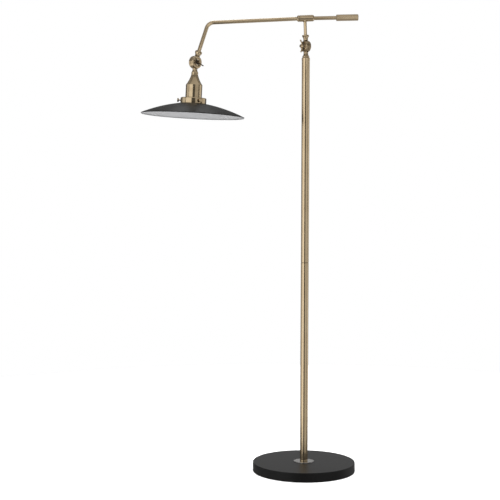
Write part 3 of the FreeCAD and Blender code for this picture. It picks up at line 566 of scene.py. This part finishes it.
def makeThumbScrew(name, node, joint, shape):
    spot, line = jointSpot(joint)
    place = placeOn(spot, line, -headDown)
    low, high = localBox(node, place)
    top, under = high.z, high.z - shape["width"]
    deselectAll()
    bpy.ops.mesh.primitive_cylinder_add(vertices=4 * shape["flutes"], radius=shape["head"],
                                        depth=shape["width"], location=(0, 0, (top + under) / 2))
    piece = bpy.context.object
    piece.name = name
    bpy.ops.object.transform_apply(location=True, rotation=True, scale=True)
    editNew("EDGE")

    # rounded edges, a dished face, and a shank drawn out of the other side
    pick(piece, "EDGE", lambda edge: abs(abs(edgeMiddle(piece, edge).z - (top + under) / 2)
                                         - shape["width"] / 2) < 0.01 * mm)
    bpy.ops.mesh.bevel(offset=shape["edge"], segments=3, affect="EDGES")
    pick(piece, "FACE", lambda face: face.normal.z > 0.99)
    bpy.ops.mesh.inset(thickness=shape["dishRim"] - shape["edge"], depth=0)
    bpy.ops.mesh.inset(thickness=shape["dish"], depth=-shape["dish"])
    pick(piece, "FACE", lambda face: face.normal.z < -0.99)
    bpy.ops.mesh.inset(thickness=shape["head"] - shape["edge"] - shape["shank"], depth=0)
    bpy.ops.mesh.extrude_region_move(
        TRANSFORM_OT_translate={"value": (0, 0, low.z + shape["point"] - under)})
    bpy.ops.mesh.extrude_region_move(TRANSFORM_OT_translate={"value": (0, 0, -shape["point"])})
    taper = 1 - shape["point"] / shape["shank"]
    bpy.ops.transform.resize(value=(taper, taper, 1), center_override=(0, 0, low.z))

    # every other pair of side faces is pressed in for the grip
    step = math.tau / shape["flutes"]

    def isFlute(face):
        angle = math.atan2(face.center.y, face.center.x) % step
        onSide = abs(face.normal.z) < 0.1 and face.center.to_2d().length > shape["head"] * 0.9
        return onSide and angle < step / 2

    pick(piece, "FACE", isFlute)
    bpy.ops.mesh.inset(thickness=shape["fluteLand"], depth=-shape["fluteDepth"])
    bpy.ops.object.mode_set(mode="OBJECT")
    # the head's darker copy of the brass, painted shade
    piece.data.materials.append(headBrass)
    return settle(piece, place, node, "antique_brass", node)


for number in (1, 2, 3):
    makeThumbScrew("thumbScrew%d" % number, "fitter_screw_%d" % number,
                   "fitter_screw_%d_turn" % number, thumbScrewShape)
print("thumb screws")


# screw shell of the lampholder

screwShellShape = {
    "pitch": 3.63 * mm, "depth": 0.85 * mm, "wall": 0.45 * mm, "play": 0.05 * mm, "lip": 2.0 * mm,
    "drawn": 4.2 * mm, "drawnRadius": 12.2 * mm, "mouth": 10.6 * mm, "cutBand": 0.5 * mm,
    "wavePoints": 12, "steps": 64,
}


def makeScrewShell(shape):
    low, high = localBox("screw_shell", headPlace)
    crest = high.x - shape["play"]
    pitch, depth = shape["pitch"], shape["depth"]
    first, last = low.z + shape["lip"], high.z - shape["drawn"]
    wave = []
    for i in range(shape["wavePoints"] + 1):
        share = i / shape["wavePoints"]
        sink = depth / 2 * (1 - math.cos(math.tau * share))
        wave.append((crest - sink, first + (share - 1) * pitch))
    piece = drawProfile("screwShell", wave)
    bpy.ops.object.mode_set(mode="OBJECT")

    # one wave, rolled round and up, then trimmed square at both ends
    turns = math.ceil((last - first) / pitch) + 2
    addModifier(piece, "SCREW", axis="Z", screw_offset=pitch, iterations=turns, steps=shape["steps"],
                render_steps=shape["steps"])
    editNew()
    closeUp()
    for level, cutSide in ((first, "clear_inner"), (last, "clear_outer")):
        bpy.ops.mesh.select_all(action="SELECT")
        bpy.ops.mesh.bisect(plane_co=(0, 0, level), plane_no=(0, 0, 1), threshold=0.001 * mm,
                            **{cutSide: True})

    # the open edge at each end is drawn out to a plain lip: a straight one, and one that narrows
    for level, outwards in ((first, [(crest, low.z)]),
                            (last, [(shape["drawnRadius"], high.z), (shape["mouth"], high.z)])):
        bpy.ops.mesh.select_all(action="DESELECT")
        bpy.ops.mesh.select_non_manifold(use_wire=False, use_multi_face=False,
                                         use_non_contiguous=False, use_verts=False)
        bpy.ops.object.mode_set(mode="OBJECT")
        openEdges = {edge.index for edge in piece.data.edges if edge.select}
        editNew("EDGE")
        pick(piece, "EDGE", lambda edge: edge.index in openEdges
             and abs(edgeMiddle(piece, edge).z - level) < shape["cutBand"])
        for radius, height in outwards:
            bpy.ops.mesh.extrude_region_move(TRANSFORM_OT_translate={"value": (0, 0, 0)})
            bpy.ops.object.mode_set(mode="OBJECT")
            for vertex in piece.data.vertices:
                if vertex.select:
                    flat = vertex.co.to_2d().normalized() * radius
                    vertex.co = (flat.x, flat.y, height)
            editNew("EDGE")
    closeUp()
    bpy.ops.object.mode_set(mode="OBJECT")
    addModifier(piece, "SOLIDIFY", thickness=shape["wall"], offset=-1)
    piece.data.materials.append(finishes["contact_brass"])
    return settle(piece, headPlace, "head", "contact_brass", "screw_shell")


makeScrewShell(screwShellShape)
print("screw shell")


# grub screws

grubShape = {"edge": 0.12, "key": 0.55, "keyDepth": 0.45, "sides": 40}     # shares of the radius


def makeGrub(name, node, body, outwards, shape):
    place = placeOn(middleOf(node), outwards, Vector((0.3, 0.2, 1)))      # any slant way across
    low, high = localBox(node, place)
    radius, head = high.x, high.z
    deselectAll()
    bpy.ops.mesh.primitive_cylinder_add(vertices=shape["sides"], radius=radius, depth=head - low.z,
                                        location=(0, 0, (head + low.z) / 2))
    grub = bpy.context.object
    grub.name = name
    bpy.ops.object.transform_apply(location=True, rotation=True, scale=True)
    editNew("EDGE")
    pick(grub, "EDGE", lambda edge: abs(edgeMiddle(grub, edge).z - head) < 0.01 * mm)
    bpy.ops.mesh.bevel(offset=shape["edge"] * radius, segments=2, affect="EDGES")
    bpy.ops.object.mode_set(mode="OBJECT")
    deselectAll()
    bpy.ops.mesh.primitive_cylinder_add(vertices=6, radius=shape["key"] * radius,
                                        depth=2 * shape["keyDepth"] * radius, location=(0, 0, head))
    cutWith(grub, bpy.context.object)
    grub.data.materials.append(finishes["plain_steel"])
    return settle(grub, place, body, "plain_steel", node)


rodLine = (middleOf("counterweight") - middleOf("balance_rod")).normalized()
fromRod = middleOf("counterweight_grub") - middleOf("counterweight")
fromRod -= rodLine * fromRod.dot(rodLine)
makeGrub("stemGrub", "stem_grub", nodes["stem_grub"]["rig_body"], -poleHingeLine, grubShape)
makeGrub("legGrub", "leg_grub", nodes["leg_grub"]["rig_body"], -lampHingeLine, grubShape)
makeGrub("counterweightGrub", "counterweight_grub", nodes["counterweight_grub"]["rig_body"],
         fromRod, grubShape)
print("grub screws")


# trim washer, cord grommet and felt under the base

trimShape = {"hole": 5.2 * mm, "rim": 1.2 * mm, "rimRound": 0.5 * mm, "dish": 0.35 * mm,
             "ring": 2.6 * mm, "steps": 128}
grommetShape = {"lip": 1.9 * mm, "lipRound": 0.75 * mm, "neck": 4.4 * mm, "boreRound": 0.6 * mm,
                "bore": 2.9 * mm, "steps": 64}
feltShape = {"round": 0.7 * mm, "steps": 160}


def makeTrimWasher(shape):
    (_, _, seat), (outer, _, top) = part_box("trim_washer")
    hole, rim, turn, dish = (shape[key] for key in ("hole", "rim", "rimRound", "dish"))
    profile = [(hole, seat), (outer, seat)]
    profile += arcPoints((outer - turn, top - turn), turn, 0, 90, 4)
    profile += [(outer - rim, top), (outer - rim - dish, top - dish)]
    profile += [(outer - rim - shape["ring"], top - dish), (outer - rim - shape["ring"] - dish, top)]
    profile += [(hole, top), (hole, seat)]
    washer = turnProfile("trimDisc", profile, shape["steps"])
    washer.data.materials.append(finishes["bright_trim"])
    return settle(washer, Matrix.Identity(4), "base", "bright_trim", "trim_washer")


def makeGrommet(shape):
    place = placeOn(middleOf("cord_bushing"), Vector((0, 1, 0)), Vector((0, 0, 1)))
    low, high = localBox("cord_bushing", place)
    outer, lip, turn = high.x, shape["lip"], shape["lipRound"]
    neck, bore, soft = shape["neck"], shape["bore"], shape["boreRound"]
    profile = arcPoints((bore + soft, low.z + soft), soft, 180, 270, 4)
    profile += arcPoints((outer - turn, low.z + turn), turn, -90, 0, 4)
    profile += arcPoints((outer - turn, low.z + lip - turn), turn, 0, 90, 4)[1:]
    profile += [(neck, low.z + lip), (neck, high.z - lip)]
    profile += arcPoints((outer - turn, high.z - lip + turn), turn, -90, 0, 4)
    profile += arcPoints((outer - turn, high.z - turn), turn, 0, 90, 4)[1:]
    profile += arcPoints((bore + soft, high.z - soft), soft, 90, 180, 4)
    profile.append(profile[0])
    grommet = turnProfile("cordGrommet", profile, shape["steps"])
    grommet.data.materials.append(finishes["black_rubber"])
    return settle(grommet, place, "base", "black_rubber", "cord_bushing")


def makeFelt(shape):
    (_, _, floorLevel), (outer, _, top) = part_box("base_pad")
    soft = shape["round"]
    profile = [(0, floorLevel)]
    profile += arcPoints((outer - soft, floorLevel + soft), soft, -90, 0, 4)
    profile += [(outer, top), (0, top)]
    felt = turnProfile("baseFelt", profile, shape["steps"])
    felt.data.materials.append(finishes["pad_felt"])
    return settle(felt, Matrix.Identity(4), "base", "pad_felt", "base_pad")


makeTrimWasher(trimShape)
makeGrommet(grommetShape)
makeFelt(feltShape)
print("trim washer, grommet and felt")


# floor, light and camera

studio = {
    "floor": 2.3, "floorSides": 96, "floorTone": (0.86, 0.86, 0.86), "floorGrain": 0.99,
    # the room as the brass mirrors it: (direction, strength) from low to high and front to back
    "roomByHeight": [(-0.45, 0.45), (-0.2, 0.1), (0.25, 0.1), (0.5, 0.3)],
    "roomByDepth": [(-0.9, 0.0), (0.2, 0.1), (0.8, 0.1)],
    "softboxes": {
        # spot, aim, width and height, radiance, seen in the brass
        "overhead": ((0.1, -0.3, 3.4), (0.1, -0.3, 0), (4.4, 4.4), 5.0, False),
        "ceiling": ((0.0, -0.4, 3.2), (0.0, -0.4, 0), (3.0, 3.0), 0.35, True),
        "frontHigh": ((-0.1, -1.8, 2.0), (0, 0, 1.4), (2.0, 0.9), 0.9, True),
        "rearLow": ((0.0, 2.6, 0.45), (0, 0, 0.3), (2.4, 0.8), 0.4, True),
        "rearHigh": ((-0.36, 1.3, 2.75), (-0.36, 0, 1.2), (0.7, 0.5), 4.0, True),
        "leftFront": ((-1.3, -1.2, 0.8), (0, 0, 0.8), (1.5, 2.2), 1.25, True),
        "leftSide": ((-2.2, 0.0, 0.8), (0, 0, 0.8), (1.3, 2.2), 0.75, True),
        "rightFront": ((0.95, -1.3, 0.8), (0, 0, 0.8), (1.7, 2.2), 0.6, True),
        "rightRear": ((2.0, 0.6, 0.8), (0, 0, 0.8), (1.8, 2.2), 0.8, True),
    },
}


def addSoftbox(name, spot, aim, size, radiance, mirrored):
    deselectAll()
    bpy.ops.object.light_add(type="AREA", location=spot)
    lamp = bpy.context.object
    lamp.name = name + "Softbox"
    lamp.data.shape = "RECTANGLE"
    lamp.data.size, lamp.data.size_y = size
    lamp.data.energy = radiance * math.pi * size[0] * size[1]
    lamp.rotation_euler = (Vector(aim) - Vector(spot)).to_track_quat("-Z", "Y").to_euler()
    lamp.visible_glossy = mirrored
    lamp.visible_camera = False


deselectAll()
bpy.ops.mesh.primitive_circle_add(vertices=studio["floorSides"], radius=studio["floor"],
                                  fill_type="NGON")
floor = bpy.context.object
floor.name = "studioFloor"
floorFinish, floorTree, floorShader = newFinish("pale_floor", Roughness=0.9)
floorShader.inputs["Specular IOR Level"].default_value = 0.1
floorGrain = noiseOn(floorTree, stretched(floorTree, (1, 1, 1)), 3)
floorTone = studio["floorTone"]
floorTree.links.new(
    blendColours(floorTree, floorGrain, floorTone, [c * studio["floorGrain"] for c in floorTone]),
    floorShader.inputs["Base Color"])
floor.data.materials.append(floorFinish)
floor.visible_glossy = False      # the brass mirrors the room, not the floor

for name, softbox in studio["softboxes"].items():
    addSoftbox(name, *softbox)


def roomTone(tree, axis, levels):
    # light of the room along one world axis: (direction, strength) points, smooth between them
    coords = addNode(tree, "ShaderNodeTexCoord")
    split = addNode(tree, "ShaderNodeSeparateXYZ")
    tree.links.new(coords.outputs["Generated"], split.inputs["Vector"])
    tone = None
    for (start, low), (end, high) in zip(levels, levels[1:]):
        step = addNode(tree, "ShaderNodeMapRange",
                       {"From Min": start, "From Max": end, "To Min": 0, "To Max": high - low},
                       interpolation_type="SMOOTHSTEP")
        tree.links.new(split.outputs[axis], step.inputs["Value"])
        total = addNode(tree, "ShaderNodeMath", {1: low if tone is None else 0}, operation="ADD")
        tree.links.new(step.outputs["Result"], total.inputs[0])
        if tone is not None:
            tree.links.new(tone, total.inputs[1])
        tone = total.outputs["Value"]
    return tone


room = bpy.data.worlds.new("studioRoom")
room.use_nodes = True
bpy.context.scene.world = room
roomTree = room.node_tree
roomLight = roomTree.nodes["Background"]
roomLight.inputs["Color"].default_value = (1, 1, 1, 1)
roomSum = addNode(roomTree, "ShaderNodeMath", operation="ADD")
roomTree.links.new(roomTone(roomTree, "Z", studio["roomByHeight"]), roomSum.inputs[0])
roomTree.links.new(roomTone(roomTree, "Y", studio["roomByDepth"]), roomSum.inputs[1])
roomTree.links.new(roomSum.outputs["Value"], roomLight.inputs["Strength"])
backdrop = addNode(roomTree, "ShaderNodeBackground", {"Color": (1, 1, 1, 1), "Strength": 1.0})
lightPath = addNode(roomTree, "ShaderNodeLightPath")
roomMix = addNode(roomTree, "ShaderNodeMixShader")
roomTree.links.new(lightPath.outputs["Is Camera Ray"], roomMix.inputs["Fac"])
roomTree.links.new(roomLight.outputs["Background"], roomMix.inputs[1])
roomTree.links.new(backdrop.outputs["Background"], roomMix.inputs[2])
roomTree.links.new(roomMix.outputs["Shader"], roomTree.nodes["World Output"].inputs["Surface"])
bpy.context.scene.view_settings.view_transform = "Standard"

view = {"lens": 85, "sensor": 36, "spot": (-0.1762, -3.7873, 0.9075), "down": 2.911, "roll": 0.159}
deselectAll()
bpy.ops.object.camera_add(location=view["spot"])
camera = bpy.context.object
camera.name = "viewCamera"
camera.data.lens = view["lens"]
camera.data.sensor_width = view["sensor"]
aim = Matrix.Rotation(math.radians(90 - view["down"]), 4, "X")
camera.matrix_world = (Matrix.Translation(Vector(view["spot"])) @ aim
                       @ Matrix.Rotation(math.radians(view["roll"]), 4, "Z"))
bpy.context.scene.camera = camera
print("floor, light and camera")
